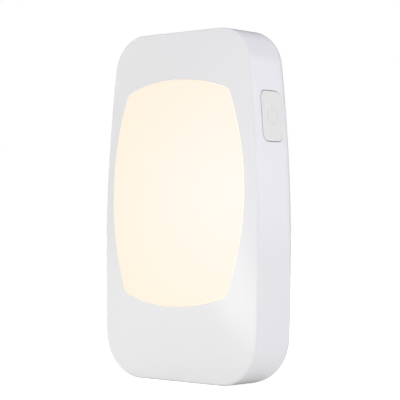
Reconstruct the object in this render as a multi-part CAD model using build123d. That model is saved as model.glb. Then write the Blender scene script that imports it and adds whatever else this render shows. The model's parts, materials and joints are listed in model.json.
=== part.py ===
from build123d import *
import math
import os

# A plug-in night light: a pillowed white casing with a glowing barrel-shaped window, a push button on its
# right side, a light board and battery inside, and a two-blade plug that folds into the back.
# Millimetres. Z is up, the front faces -Y, and the origin lies under the middle of the flat bottom end.

# Clearances
overrun = 4.0
seat_gap = 0.05
moving_gap = 0.3
pivot_gap = 0.05
contact_gap = 0.1

# Casing
case_height = 110.0
case_depth = 22.5
side_depth = 17.7
top_half_width = 27.04
middle_half_width = 32.29
bottom_half_width = 31.37
top_corner = 12.5
bottom_corner = 15.1
wall = 2.2
front_edge_round = 1.0
rear_edge_round = 3.3
rim_land = 0.6
patch_share = 1.15
patch_steps = 10
patch_tolerance = 0.001

# Window and lens
window_side_margin = 4.73
window_top_margin = 15.47
window_bottom_margin = 23.85
window_side_bow = 6.36
window_end_bow = 3.64
window_corner_round = 4.0
window_gap = 0.15
lens_wall = 1.8
lens_rim = 1.6
flange_width = 1.5
flange_thickness = 1.2

# Light board and what stands on its front
board_thickness = 1.2
board_side_margin = 4.56
board_end_margin = 0.66
board_tab_gap = 2.7
board_tab = 7.0
board_corner = 2.5
tray_wall = 1.6
tray_floor = 0.6
tray_depth = 1.1
led_width = 2.8
led_height = 3.5
led_thickness = 0.8
led_notch = 0.5
led_columns = 2
led_rows = 4
led_side_inset = 17.56
led_end_inset = 11.34
led_gap = 0.4
sensor_rise = 6.34
sensor_radius = 1.1
sensor_length = 2.0
sensor_collar = 1.5
sensor_collar_thickness = 0.6

# Parts on the back of the board
film_width = 8.5
film_height = 15.5
film_thickness = 8.5
film_round = 1.0
film_gap = 1.1
film_drop = 17.5
can_radius = 3.15
can_length = 9.0
can_bead = 0.35
can_bead_place_share = 0.84
can_lead_gap = 0.65
can_rise = 10.0
bridge_width = 6.5
bridge_height = 4.8
bridge_thickness = 2.5
bridge_x = 7.0
bridge_rise = 20.5
bridge_pins = 2
chip_lead_width = 0.5
chip_lead_reach = 1.1
chip_lead_thickness = 0.3
fuse_radius = 1.6
fuse_length = 8.0
fuse_wire_radius = 0.35
fuse_wire_bend = 0.8
fuse_stand = 2.4
fuse_inset = 4.4
fuse_rise = 22.0
control_width = 5.0
control_height = 4.0
control_thickness = 1.5
control_side_inset = 6.5
control_top_inset = 6.0
control_pins = 4
resistor_width = 1.6
resistor_height = 3.2
resistor_thickness = 0.6
resistor_count = 5
resistor_pitch = 3.4
resistor_x = 2.0
resistor_top_inset = 14.0

# Board screws and posts
post_radius = 2.2
post_inset = 3.0
board_screw_radius = 0.8
board_screw_length = 3.6
board_screw_head_radius = 1.6
board_screw_head = 1.2

# Button and switch
button_width = 9.6
button_height = 15.5
button_corner = 2.4
button_setback = 8.45
button_drop = 27.4
button_gap = 0.18
button_proud = 0.3
button_edge_round = 0.4
button_travel = 0.7
button_lug = 1.2
button_lug_thickness = 1.4
button_stub_radius = 2.3
switch_half_height = 3.1
switch_reach = 3.6
switch_above_axis = 3.1
stem_radius = 1.7
stem_length = 2.4
stem_engaged = 1.8

# Back plate and case screws
plate_thickness = 2.0
plate_gap = 0.15
plate_edge_round = 0.4
cup_radius = 4.1
cup_floor = 1.6
screw_recess = 3.2
screw_recess_radius = 2.7
case_screw_radius = 1.2
case_screw_length = 9.0
case_screw_head_radius = 2.4
case_screw_head = 1.9
screw_hole_gap = 0.2
boss_radius = 3.1
top_boss_inset = 9.24
top_boss_drop = 10.0
bottom_boss_inset = 10.87
bottom_boss_rise = 11.0

# Battery
cell_radius = 5.0
cell_end_gap = 0.5
cell_cap_radius = 1.8
cell_cap = 0.6
cell_setback = 8.95
cradle_thickness = 1.6
cradle_end_inset = 6.0
cradle_lip = 1.4
tab_width = 3.0
tab_thickness = 0.3
tab_rise = 6.5
lead_radius = 0.6
lead_bend = 2.4
lead_landing_rise = 9.8

# Folding plug
pivot_drop = 38.0
pivot_depth = 3.9
roller_radius = 4.9
roller_half_length = 10.5
trunnion_radius = 2.0
trunnion_length = 1.6
trunnion_end_gap = 0.1
blade_pitch = 12.7
blade_thickness = 1.5
blade_width = 6.3
blade_length = 17.0
blade_tip = 1.3
blade_hole_radius = 1.6
blade_hole_reach = 11.9
tail_width = 3.2
tail_reach = 6.3

# Plug well
cheek_thickness = 2.6
slot_side_gap = 0.45
slot_end_gap = 0.7
slot_wall = 1.4
well_edge = 1.5
scoop_half_width = 10.5
scoop_height = 8.4
scoop_overlap = 2.4
scoop_depth = 5.05
scoop_round = 1.8
well_floor = 1.4
well_flange = 4.1
well_flange_thickness = 1.5
peg_radius = 1.0
peg_inset = 2.2
ear_length = 5.1
ear_half_height = 3.5

# Pivot retainer, contacts and mains leads
retainer_rise = 13.5
retainer_half_height = 5.0
retainer_tongue_half_width = 10.0
retainer_screw_radius = 0.85
retainer_screw_length = 6.0
retainer_screw_head_radius = 1.7
retainer_screw_head = 1.2
tail_window_half_width = 2.2
tail_window_drop = 2.6
tail_window_rise = 5.6
contact_width = 3.0
contact_thickness = 0.4
contact_drop = 2.0
contact_rise = 12.6
stake_radius = 0.8
stake_rise = 8.6
stake_proud = 0.4
mains_lead_radius = 0.55
mains_lead_bend_share = 0.6
mains_lead_start = 10.6
mains_lead_landing = 17.5

# Planes and centres that follow from the sizes
back_y = case_depth / 2
crown = case_depth - side_depth
edge_y = back_y - side_depth
middle_z = case_height / 2
window_half_width = middle_half_width - window_side_margin
window_half_height = (case_height - window_top_margin - window_bottom_margin) / 2
window_corner_half_width = window_half_width - window_side_bow
window_corner_half_height = window_half_height - window_end_bow
window_z = window_bottom_margin + window_half_height
window_crown = crown * (1 - (window_half_width / middle_half_width) ** 2)
flange_back = wall + seat_gap + flange_thickness
rim_inset = rear_edge_round + rim_land
plate_y = back_y - plate_thickness
board_front_y = edge_y - window_crown + flange_back + tray_depth
board_y = board_front_y + board_thickness
board_half_width = window_half_width - board_side_margin
board_half_height = window_half_height + board_end_margin
board_tab_half_width = top_half_width - top_boss_inset - boss_radius - board_tab_gap
board_top = window_z + board_half_height
board_bottom = window_z - board_half_height - board_tab
sensor_z = window_z - window_half_height + sensor_rise
post_z = board_half_height + board_tab / 2
boss_y = back_y - screw_recess - cup_floor
button_y = edge_y + button_setback
button_z = case_height - button_drop
pivot_y = back_y - pivot_depth
pivot_z = case_height - pivot_drop
tip_reach = pivot_depth + blade_length
well_half_width = roller_half_length + moving_gap + cheek_thickness
well_top = pivot_z + roller_radius + moving_gap + well_edge
slot_bottom = pivot_z - tip_reach - slot_end_gap
scoop_top = pivot_z - tip_reach + scoop_overlap
scoop_bottom = scoop_top - scoop_height
well_bottom = scoop_bottom - well_floor
well_y = pivot_y - roller_radius
retainer_back_y = well_y - moving_gap
retainer_y = pivot_y - tail_reach - contact_gap
contact_y = retainer_y - contact_thickness
blade_xs = (-blade_pitch / 2, blade_pitch / 2)
bearing = trunnion_radius + pivot_gap
bearing_end = roller_half_length + trunnion_length + trunnion_end_gap
cell_z = (board_bottom + rim_inset + plate_gap) / 2
cell_y = edge_y + cell_setback
cell_room = bottom_half_width - bottom_boss_inset - cup_radius - cell_end_gap
cell_half_length = cell_room - tab_thickness - cell_cap
cradle_x = cell_half_length - cradle_end_inset
plus_lead_x = cell_half_length + cell_cap + tab_thickness / 2
minus_lead_x = -cell_half_length - tab_thickness / 2
can_x = plus_lead_x - lead_radius - can_lead_gap - can_length / 2


def slab(sketch, front, back):
    """A sketch of X and Z drawn out along Y from front to back."""
    return extrude(Plane.XZ.offset(-back) * sketch, amount=back - front)


def bar(sketch, left, right):
    """A sketch of Y and Z drawn out along X from left to right."""
    return extrude(Plane.YZ.offset(left) * sketch, amount=right - left)


def box(x_low, x_high, y_low, y_high, z_low, z_high):
    """A block between six planes."""
    sketch = Pos((x_low + x_high) / 2, (z_low + z_high) / 2) * Rectangle(x_high - x_low, z_high - z_low)
    return slab(sketch, y_low, y_high)


def case_sketch(inset):
    """The casing's outline, bowed at the sides and narrower at the top, drawn in by inset."""
    low = inset
    high = case_height - inset
    foot = bottom_half_width - inset
    waist = middle_half_width - inset
    head = top_half_width - inset
    right = ThreePointArc((foot, low), (waist, middle_z), (head, high))
    left = ThreePointArc((-head, high), (-waist, middle_z), (-foot, low))
    face = make_face([right, Line((head, high), (-head, high)), left, Line((-foot, low), (foot, low))])
    face = fillet(face.vertices().group_by(Axis.Y)[-1], top_corner - inset)
    return fillet(face.vertices().group_by(Axis.Y)[0], bottom_corner - inset)


def side_half_width(z):
    """Half the casing's width at a height, on the parabola that its side arc follows."""
    along = z / middle_z - 1
    taper = (top_half_width - bottom_half_width) / 2
    bow = middle_half_width - (top_half_width + bottom_half_width) / 2
    return middle_half_width + taper * along - bow * along**2


def bow_radius(bulge, half_chord):
    """The radius of an arc that stands out from its chord by bulge."""
    return (half_chord**2 + bulge**2) / (2 * bulge)


def window_sketch(margin):
    """The barrel-shaped window: what four large circles share, with rounded corners, grown by margin."""
    side = bow_radius(window_side_bow, window_corner_half_height)
    end = bow_radius(window_end_bow, window_corner_half_width)
    x = side - window_half_width
    z = end - window_half_height
    shape = Pos(x, 0) * Circle(side + margin) & Pos(-x, 0) * Rot(Z=180) * Circle(side + margin)
    shape = shape & Pos(0, z) * Circle(end + margin) & Pos(0, -z) * Circle(end + margin)
    shape = fillet(shape.vertices(), window_corner_round + margin)
    return Pos(0, window_z) * shape


def behind_crown(shift):
    """All behind the pillowed front, pushed back by shift: its rise is the product of two parabolas."""
    shares = [patch_share * (2 * step / patch_steps - 1) for step in range(patch_steps + 1)]
    rows = []
    for across in shares:
        row = []
        for along in shares:
            x = across * side_half_width(middle_z + middle_z * along)
            y = edge_y + shift - crown * (1 - across**2) * (1 - along**2)
            row.append(Vector(x, y, middle_z + middle_z * along))
        rows.append(row)
    face = Face.make_surface_from_array_of_points(rows, tol=patch_tolerance)
    return Solid.extrude(face, Vector(0, case_depth, 0))


def crown_layer(sketch, front_shift, back_shift):
    """The slice of a sketch's prism between two copies of the pillowed front."""
    prism = slab(sketch, -case_depth, back_y)
    return (prism & behind_crown(front_shift)) - behind_crown(back_shift)


def mirrored(x, z):
    """A place and its mirror image across the middle plane."""
    return [(x, z), (-x, z)]


def boss_places():
    """The four case screws."""
    top = mirrored(top_half_width - top_boss_inset, case_height - top_boss_drop)
    return top + mirrored(bottom_half_width - bottom_boss_inset, bottom_boss_rise)


def post_places():
    """The four board screws."""
    x = board_tab_half_width - post_inset
    return mirrored(x, window_z + post_z) + mirrored(x, window_z - post_z)


def rod(place, radius, front, back):
    """A round rod along Y."""
    return slab(Pos(*place) * Circle(radius), front, back)


def button_sketch(margin):
    """The push button's rounded rectangle, grown by margin, in Y and Z."""
    shape = RectangleRounded(button_width + 2 * margin, button_height + 2 * margin, button_corner + margin)
    return Pos(button_y, button_z) * shape


def front_shell():
    """The deep front casing: pillowed face, side walls, rolled rear rim, screw bosses and board posts."""
    body = slab(case_sketch(0), -case_depth, back_y) & behind_crown(0)
    body = body.solid().fillet(rear_edge_round, body.edges().group_by(Axis.Y)[-1])
    body = body.fillet(front_edge_round, body.faces().sort_by(Axis.Y)[0].edges())
    inside = slab(case_sketch(wall), -case_depth, back_y - wall) & behind_crown(wall)
    body -= inside
    body -= slab(case_sketch(rim_inset), plate_y - overrun, back_y + overrun)
    rooted = behind_crown(wall / 2)
    for place in boss_places():
        body += rod(place, boss_radius, -case_depth, boss_y) & rooted
    for place in post_places():
        body += rod(place, post_radius, -case_depth, board_front_y) & rooted
    for place in boss_places():
        body -= rod(place, case_screw_radius + seat_gap, boss_y - case_screw_length, boss_y + overrun)
    for place in post_places():
        tip = board_y - board_screw_length - seat_gap
        body -= rod(place, board_screw_radius + seat_gap, tip, board_y)
    body -= slab(window_sketch(window_gap), -case_depth, edge_y + wall)
    body -= bar(button_sketch(button_gap), board_half_width, middle_half_width + overrun)
    return body


def diffuser_lens():
    """The opal window: a crowned skin with a thick rim and a flange that bears on the casing inside."""
    body = crown_layer(window_sketch(0), 0, flange_back)
    body += crown_layer(window_sketch(flange_width), wall + seat_gap, flange_back)
    return body - (slab(window_sketch(-lens_rim), -case_depth, back_y) & behind_crown(lens_wall))


def led_places():
    """The light-emitting chips, in a grid about the window's centre."""
    places = []
    for column in range(led_columns):
        for row in range(led_rows):
            across_share = 2 * column / (led_columns - 1) - 1
            along_share = 2 * row / (led_rows - 1) - 1
            x = across_share * (window_half_width - led_side_inset)
            z = along_share * (window_half_height - led_end_inset)
            places.append((x, window_z + z))
    return places


def reflector_tray():
    """The white tray between lens and board, with a hole for each chip."""
    block = slab(window_sketch(flange_width - window_gap), -case_depth, board_front_y)
    body = block & behind_crown(flange_back)
    body -= slab(window_sketch(-tray_wall), -case_depth, board_front_y - tray_floor)
    for place in led_places():
        hole = Pos(*place) * Rectangle(led_width + led_gap, led_height + led_gap)
        body -= slab(hole, board_front_y - overrun, board_front_y)
    return body - rod((0, sensor_z), sensor_collar + led_gap, board_front_y - overrun, board_front_y)


def light_board():
    """The circuit board, with a tab at each end for its screws."""
    sketch = RectangleRounded(2 * board_half_width, 2 * board_half_height, board_corner)
    sketch += RectangleRounded(2 * board_tab_half_width, 2 * (board_half_height + board_tab), board_corner)
    body = slab(Pos(0, window_z) * sketch, board_front_y, board_y)
    for place in post_places():
        body -= rod(place, board_screw_radius + screw_hole_gap, board_front_y - overrun, board_y + overrun)
    return body


def led_chips():
    """The light-emitting chips on the front of the board, each with one corner cut to show its pole."""
    shape = Rectangle(led_width, led_height)
    shape = chamfer(shape.vertices().group_by(Axis.Y)[-1].sort_by(Axis.X)[0], led_notch)
    chips = []
    for place in led_places():
        chips.append(slab(Pos(*place) * shape, board_front_y - led_thickness, board_front_y))
    return chips


def light_sensor():
    """A round-nosed light sensor behind the lower part of the lens."""
    place = Pos(0, board_front_y, sensor_z)
    nose = sensor_length - sensor_radius
    profile = make_face(
        [
            Line((0, 0), (sensor_collar, 0)),
            Line((sensor_collar, 0), (sensor_collar, sensor_collar_thickness)),
            Line((sensor_collar, sensor_collar_thickness), (sensor_radius, sensor_collar_thickness)),
            Line((sensor_radius, sensor_collar_thickness), (sensor_radius, nose)),
            RadiusArc((sensor_radius, nose), (0, sensor_length), -sensor_radius),
            Line((0, sensor_length), (0, 0)),
        ]
    )
    body = revolve(profile, Axis.Y)
    return place * Rot(Z=180) * body


def film_capacitor():
    """The box-shaped film capacitor that drops the mains voltage, beside the plug well."""
    x = -well_half_width - film_gap - film_width / 2
    shape = Pos(x, pivot_z - film_drop) * RectangleRounded(film_width, film_height, film_round)
    body = slab(shape, board_y, board_y + film_thickness)
    return fillet(body.edges().group_by(Axis.Y)[-1], film_round / 2)


def electrolytic_capacitor():
    """The round can, lying along X, with the rolled bead near its open end."""
    bead = can_length * can_bead_place_share
    profile = make_face(
        [
            Polyline(
                (0, 0),
                (0, can_radius),
                (bead - can_bead, can_radius),
                (bead, can_radius - can_bead),
                (bead + can_bead, can_radius),
                (can_length, can_radius),
                (can_length, 0),
                (0, 0),
            )
        ]
    )
    body = revolve(profile, Axis.X)
    return Pos(can_x - can_length / 2, board_y + can_radius, board_bottom + can_rise) * body


def leads_along(x, z, half_height, count, pitch):
    """Flat chip leads on the board, along both long sides of a chip."""
    leads = []
    for side in (-1, 1):
        for index in range(count):
            place = x + (index - (count - 1) / 2) * pitch
            middle = z + side * (half_height + chip_lead_reach / 2)
            shape = Pos(place, middle) * Rectangle(chip_lead_width, chip_lead_reach)
            leads.append(slab(shape, board_y, board_y + chip_lead_thickness))
    return leads


def moulded_chip(x, z, width, height, thickness, pins):
    """A moulded chip with flat leads along its two long sides."""
    body = slab(Pos(x, z) * Rectangle(width, height), board_y, board_y + thickness)
    for lead in leads_along(x, z, height / 2, pins, width / pins):
        body += lead
    return body


def bridge_rectifier():
    """The four-lead rectifier."""
    z = board_bottom + bridge_rise
    return moulded_chip(bridge_x, z, bridge_width, bridge_height, bridge_thickness, bridge_pins)


def control_chip():
    """The eight-lead control chip."""
    x = control_side_inset - board_half_width
    z = board_top - control_top_inset
    return moulded_chip(x, z, control_width, control_height, control_thickness, control_pins)


def fusible_resistor():
    """The fusible resistor, standing off the board on two bent wires."""
    x = board_half_width - fuse_inset
    y = board_y + fuse_stand
    z = board_bottom + fuse_rise
    low = z - fuse_length / 2 - fuse_radius
    high = z + fuse_length / 2 + fuse_radius
    body = Cylinder(fuse_radius, fuse_length)
    body = chamfer(body.edges().filter_by(GeomType.CIRCLE), fuse_radius / 3)
    route = [(x, board_y, low), (x, y, low), (x, y, high), (x, board_y, high)]
    wire = lead(route, fuse_wire_bend, fuse_wire_radius)
    return Pos(x, y, z) * body + wire


def chip_resistors():
    """A row of chip resistors."""
    resistors = []
    for index in range(resistor_count):
        x = resistor_x + (index - (resistor_count - 1) / 2) * resistor_pitch
        shape = Pos(x, board_top - resistor_top_inset) * Rectangle(resistor_width, resistor_height)
        resistors.append(slab(shape, board_y, board_y + resistor_thickness))
    return resistors


def pan_screw(place, seat, radius, length, head_radius, head):
    """A pan-head screw along Y: the head stands behind its seat and the shank runs forward from it."""
    top = rod(place, head_radius, seat, seat + head)
    top = fillet(top.edges().group_by(Axis.Y)[-1], head / 2)
    return top + rod(place, radius, seat - length, seat)


def board_screws():
    """The four screws that clamp the board, tray and lens to the casing."""
    screws = []
    for place in post_places():
        shank = (board_screw_radius, board_screw_length)
        screws.append(pan_screw(place, board_y, *shank, board_screw_head_radius, board_screw_head))
    return screws


def case_screws():
    """The four screws that hold the back plate on the casing's bosses."""
    screws = []
    seat = back_y - screw_recess
    for place in boss_places():
        shank = (case_screw_radius, case_screw_length)
        screws.append(pan_screw(place, seat, *shank, case_screw_head_radius, case_screw_head))
    return screws


def stem_tip():
    """How far out the switch stem reaches: level with the edge of the board."""
    return board_half_width - seat_gap


def switch_body():
    """The side-acting switch on the edge of the board, bored for its stem."""
    face = stem_tip() - stem_length
    y_high = button_y + switch_above_axis
    z_low = button_z - switch_half_height
    z_high = button_z + switch_half_height
    body = box(face - switch_reach, face, board_y, y_high, z_low, z_high)
    bore = Pos(button_y, button_z) * Circle(stem_radius + pivot_gap)
    depth = stem_engaged + button_travel + moving_gap
    return body - bar(bore, face - depth, face + overrun)


def switch_stem():
    """The switch's plunger."""
    shape = Pos(button_y, button_z) * Circle(stem_radius)
    return bar(shape, stem_tip() - stem_length - stem_engaged, stem_tip())


def side_button():
    """The push button: a cap shaped like the casing's side, lugs that hold it in, a stub on the switch."""
    inner = wall + moving_gap
    reach = middle_half_width + overrun
    lugs = Pos(button_y, button_z) * Rectangle(button_width - button_corner, button_height + 2 * button_lug)
    skin = slab(case_sketch(-button_proud), -case_depth, back_y)
    body = bar(button_sketch(0), 0, reach) & skin
    outer = body.edges().filter_by(lambda edge: edge.center().X > board_half_width)
    body = fillet(outer, button_edge_round)
    behind = slab(case_sketch(inner + button_lug_thickness), -case_depth, back_y)
    body -= behind
    body += (bar(lugs, 0, reach) & slab(case_sketch(inner), -case_depth, back_y)) - behind
    stub = Pos(button_y, button_z) * Circle(button_stub_radius)
    return body + bar(stub, stem_tip(), side_half_width(button_z) - wall)


def back_plate():
    """The flush back plate: screw cups, the plug well's opening, pegs for its flange, a battery cradle."""
    body = slab(case_sketch(rim_inset + plate_gap), plate_y, back_y)
    body = fillet(body.edges().group_by(Axis.Y)[-1], plate_edge_round)
    for place in boss_places():
        body += rod(place, cup_radius, boss_y, plate_y)
    for place in boss_places():
        body -= rod(place, screw_recess_radius, back_y - screw_recess, back_y + overrun)
        body -= rod(place, case_screw_radius + screw_hole_gap, boss_y - overrun, back_y)
    opening = well_half_width + plate_gap
    low = well_bottom - plate_gap
    high = well_top + plate_gap
    body -= box(-opening, opening, plate_y - overrun, back_y + overrun, low, high)
    for place in peg_places():
        body += rod(place, peg_radius, plate_y - well_flange_thickness, plate_y)
    for x in (-cradle_x, cradle_x):
        body += cradle(x)
    return body


def cradle(x):
    """One saddle rib that carries the battery."""
    z_low = rim_inset + plate_gap
    z_high = cell_z + cell_radius + cradle_lip
    rib = box(x - cradle_thickness / 2, x + cradle_thickness / 2, cell_y, plate_y, z_low, z_high)
    hollow = Pos(cell_y, cell_z) * Circle(cell_radius + seat_gap)
    return rib - bar(hollow, x - cradle_thickness, x + cradle_thickness)


def battery_cell():
    """The round rechargeable cell, lying across the bottom, with its raised contact."""
    half = cell_half_length
    centre = Pos(cell_y, cell_z)
    body = bar(centre * Circle(cell_radius), -half, half)
    body = fillet(body.edges(), cell_cap)
    return body + bar(centre * Circle(cell_cap_radius), half, half + cell_cap)


def battery_tabs():
    """The welded strips at the two ends of the cell."""
    half = cell_half_length
    tabs = []
    for x_low in (-half - tab_thickness, half + cell_cap):
        z_low = cell_z - tab_width / 2
        z_high = cell_z + tab_rise
        y_low = cell_y - tab_width / 2
        tabs.append(box(x_low, x_low + tab_thickness, y_low, y_low + tab_width, z_low, z_high))
    return tabs


def lead(points, bend, radius):
    """A wire of straight runs joined by bends."""
    path = FilletPolyline(*points, radius=bend)
    start = Plane(origin=path @ 0, z_dir=path % 0)
    return sweep(start * Circle(radius), path=path)


def battery_lead(x):
    """A wire from a battery tab up to the board."""
    start = cell_z + tab_rise
    landing = board_bottom + lead_landing_rise
    points = [(x, cell_y, start), (x, cell_y, landing), (x, board_y, landing)]
    return lead(points, lead_bend, lead_radius)


def plug_carrier():
    """The roller that carries the blades: two flats lie flush with the back, folded and open."""
    centre = Pos(pivot_y, pivot_z)
    body = bar(centre * Circle(roller_radius), -roller_half_length, roller_half_length)
    far = roller_half_length + overrun
    body -= box(-far, far, back_y, back_y + overrun, pivot_z - far, pivot_z + far)
    body -= box(-far, far, pivot_y - far, pivot_y + far, pivot_z - far, pivot_z - pivot_depth)
    reach = roller_half_length + trunnion_length
    body += bar(centre * Circle(trunnion_radius), -reach, reach)
    for x in blade_xs:
        body -= plug_blade(x)
    return body


def plug_blade(x):
    """One flat blade, folded down, with its contact tail on the far side of the pivot."""
    half = blade_thickness / 2
    blade = Pos(0, -(pivot_depth + tip_reach) / 2) * Rectangle(blade_width, blade_length)
    blade = chamfer(blade.vertices().group_by(Axis.Y)[0], blade_tip)
    blade += Pos(0, (tail_reach - pivot_depth) / 2) * Rectangle(tail_width, tail_reach + pivot_depth)
    blade -= Pos(0, -pivot_depth - blade_hole_reach) * Circle(blade_hole_radius)
    swept = Circle(tail_reach) + Pos(0, -tip_reach / 2) * Rectangle(blade_width, tip_reach)
    return bar(Pos(pivot_y, pivot_z) * (blade & swept), x - half, x + half)


def peg_places():
    """The four pegs that hold the plug well's flange."""
    x = well_half_width + well_flange - peg_inset
    top = well_top + well_flange - peg_inset
    return mirrored(x, top) + mirrored(x, well_bottom - well_flange + peg_inset)


def plug_well():
    """The moulded well: roller trough, two blade slots, a finger scoop, bearings and screw ears."""
    half = well_half_width
    floor_y = back_y - scoop_depth - well_floor
    deep_bottom = slot_bottom - slot_wall
    body = box(-half, half, well_y, back_y, deep_bottom, well_top)
    body += box(-half, half, floor_y, back_y, well_bottom, well_top)
    side = half + well_flange
    flange_y = plate_y - well_flange_thickness
    body += box(-side, side, flange_y, plate_y, well_bottom - well_flange, well_top + well_flange)
    trough = roller_radius + moving_gap
    inner = roller_half_length + moving_gap
    ear = half + ear_length
    low = pivot_z - ear_half_height
    high = pivot_z + ear_half_height
    for x_low, x_high in ((-ear, -inner), (inner, ear)):
        body += box(x_low, x_high, retainer_back_y, plate_y, low, high)
    body -= bar(Pos(pivot_y, pivot_z) * Circle(trough), -inner, inner)
    body -= box(-inner, inner, pivot_y, back_y + overrun, pivot_z - trough, pivot_z + trough)
    body -= finger_scoop()
    for x in blade_xs:
        body -= blade_slot(x)
    body -= cored_pockets()
    body -= bar(Pos(pivot_y, pivot_z) * Circle(bearing), -bearing_end, bearing_end)
    for x_low, x_high in bearing_spans():
        body -= box(x_low, x_high, retainer_back_y - overrun, pivot_y, pivot_z - bearing, pivot_z + bearing)
    for place in retainer_screw_places():
        tip = retainer_y + retainer_screw_length
        body -= rod(place, retainer_screw_radius + seat_gap, retainer_back_y - overrun, tip)
    for place in peg_places():
        body -= rod(place, peg_radius + seat_gap, flange_y - overrun, plate_y)
    return body


def bearing_spans():
    """Where each trunnion's bearing lies along X."""
    inner = roller_half_length + moving_gap
    return ((-bearing_end, -inner), (inner, bearing_end))


def finger_scoop():
    """The scoop at the blades' tips that lets a fingertip draw them out."""
    shape = RectangleRounded(2 * scoop_half_width, scoop_height, scoop_round)
    front = back_y - scoop_depth
    body = slab(Pos(0, scoop_top - scoop_height / 2) * shape, front, back_y + overrun)
    return fillet(body.edges().group_by(Axis.Y)[0], scoop_round - seat_gap)


def blade_slot(x):
    """Room for one folded blade and for its contact tail."""
    half = blade_thickness / 2 + slot_side_gap
    low_y = pivot_y - blade_width / 2 - slot_side_gap
    slot = box(x - half, x + half, low_y, back_y + overrun, slot_bottom, pivot_z)
    high_y = pivot_y + tail_width / 2 + slot_side_gap
    tail_top = pivot_z + tail_reach + slot_end_gap
    return slot + box(x - half, x + half, retainer_back_y - overrun, high_y, pivot_z, tail_top)


def cored_pockets():
    """Hollows that thin the well's block to even walls: one between the slots and one outside each."""
    slot_half = blade_thickness / 2 + slot_side_gap + slot_wall
    middle = blade_pitch / 2 - slot_half
    near = blade_pitch / 2 + slot_half
    far = well_half_width - slot_wall
    top = pivot_z - roller_radius - moving_gap - slot_wall
    bottom = scoop_top + slot_wall
    pockets = []
    for x_low, x_high in ((-far, -near), (-middle, middle), (near, far)):
        pockets.append(box(x_low, x_high, retainer_back_y - overrun, back_y - slot_wall, bottom, top))
    return pockets


def retainer_screw_places():
    """The two screws beside the pivot."""
    return mirrored(well_half_width + ear_length / 2, pivot_z)


def pivot_retainer():
    """The bracket over the roller: bearing caps, windows for the blades' tails, stakes for the contacts."""
    side = well_half_width + ear_length
    low = pivot_z - retainer_half_height
    high = pivot_z + retainer_half_height
    tongue = retainer_tongue_half_width
    body = box(-side, side, retainer_y, retainer_back_y, low, high)
    body += box(-tongue, tongue, retainer_y, retainer_back_y, pivot_z, pivot_z + retainer_rise)
    window_low = pivot_z - tail_window_drop
    window_high = pivot_z + tail_window_rise
    half = tail_window_half_width
    for x in blade_xs:
        body -= box(x - half, x + half, retainer_y, retainer_back_y, window_low, window_high)
        body += rod((x, pivot_z + stake_rise), stake_radius, contact_y - stake_proud, retainer_y)
    cap = bearing - seat_gap
    tip_y = pivot_y - bearing / 2
    for x_low, x_high in bearing_spans():
        left = x_low + seat_gap
        right = x_high - seat_gap
        finger = box(left, right, retainer_back_y, tip_y, pivot_z - cap, pivot_z + cap)
        body += finger - bar(Pos(pivot_y, pivot_z) * Circle(bearing), x_low, x_high)
    for place in retainer_screw_places():
        body -= rod(place, retainer_screw_radius + screw_hole_gap, retainer_y, retainer_back_y)
    return body


def retainer_screws():
    """The two screws that hold the retainer, heads to the front."""
    screws = []
    for place in retainer_screw_places():
        top = rod(place, retainer_screw_head_radius, retainer_y - retainer_screw_head, retainer_y)
        top = fillet(top.edges().group_by(Axis.Y)[0], retainer_screw_head / 2)
        shank = rod(place, retainer_screw_radius, retainer_y, retainer_y + retainer_screw_length)
        screws.append(top + shank)
    return screws


def contact_spring(x):
    """A flat spring staked to the retainer: a blade's tail meets it when the plug is open."""
    half = contact_width / 2
    low = pivot_z - contact_drop
    high = pivot_z + contact_rise
    body = box(x - half, x + half, contact_y, retainer_y, low, high)
    return body - rod((x, pivot_z + stake_rise), stake_radius + seat_gap, contact_y, retainer_y)


def mains_lead(x):
    """A wire from a contact spring to the board."""
    y = contact_y - mains_lead_radius - seat_gap
    landing = pivot_z + mains_lead_landing
    points = [(x, y, pivot_z + mains_lead_start), (x, y, landing), (x, board_y, landing)]
    return lead(points, mains_lead_bend_share * (y - board_y), mains_lead_radius)


def save(name, piece):
    """Write one piece, or a group of separate solids, under its own name."""
    pieces = piece if isinstance(piece, list) else piece.solids()
    solids = [Solid(each.solid().wrapped) for each in pieces]
    export_step(Compound(children=solids, label=name), f"parts/{name}.step")


os.makedirs("parts", exist_ok=True)
save("front_shell", front_shell())
save("diffuser_lens", diffuser_lens())
save("reflector_tray", reflector_tray())
save("light_board", light_board())
save("led_chips", led_chips())
save("light_sensor", light_sensor())
save("film_capacitor", film_capacitor())
save("electrolytic_capacitor", electrolytic_capacitor())
save("bridge_rectifier", bridge_rectifier())
save("control_chip", control_chip())
save("fusible_resistor", fusible_resistor())
save("chip_resistors", chip_resistors())
save("board_screws", board_screws())
save("switch_body", switch_body())
save("switch_stem", switch_stem())
save("side_button", side_button())
save("back_plate", back_plate())
save("case_screws", case_screws())
save("battery_cell", battery_cell())
save("battery_tabs", battery_tabs())
save("battery_lead_plus", battery_lead(plus_lead_x))
save("battery_lead_minus", battery_lead(minus_lead_x))
save("plug_well", plug_well())
save("pivot_retainer", pivot_retainer())
save("retainer_screws", retainer_screws())
save("plug_carrier", plug_carrier())
for side_name, blade_x in zip(("left", "right"), blade_xs):
    save(f"plug_blade_{side_name}", plug_blade(blade_x))
    save(f"contact_spring_{side_name}", contact_spring(blade_x))
    save(f"mains_lead_{side_name}", mains_lead(blade_x))
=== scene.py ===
import json
import math

import bmesh
import bpy
from mathutils import Matrix, Vector
from mathutils.bvhtree import BVHTree


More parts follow.
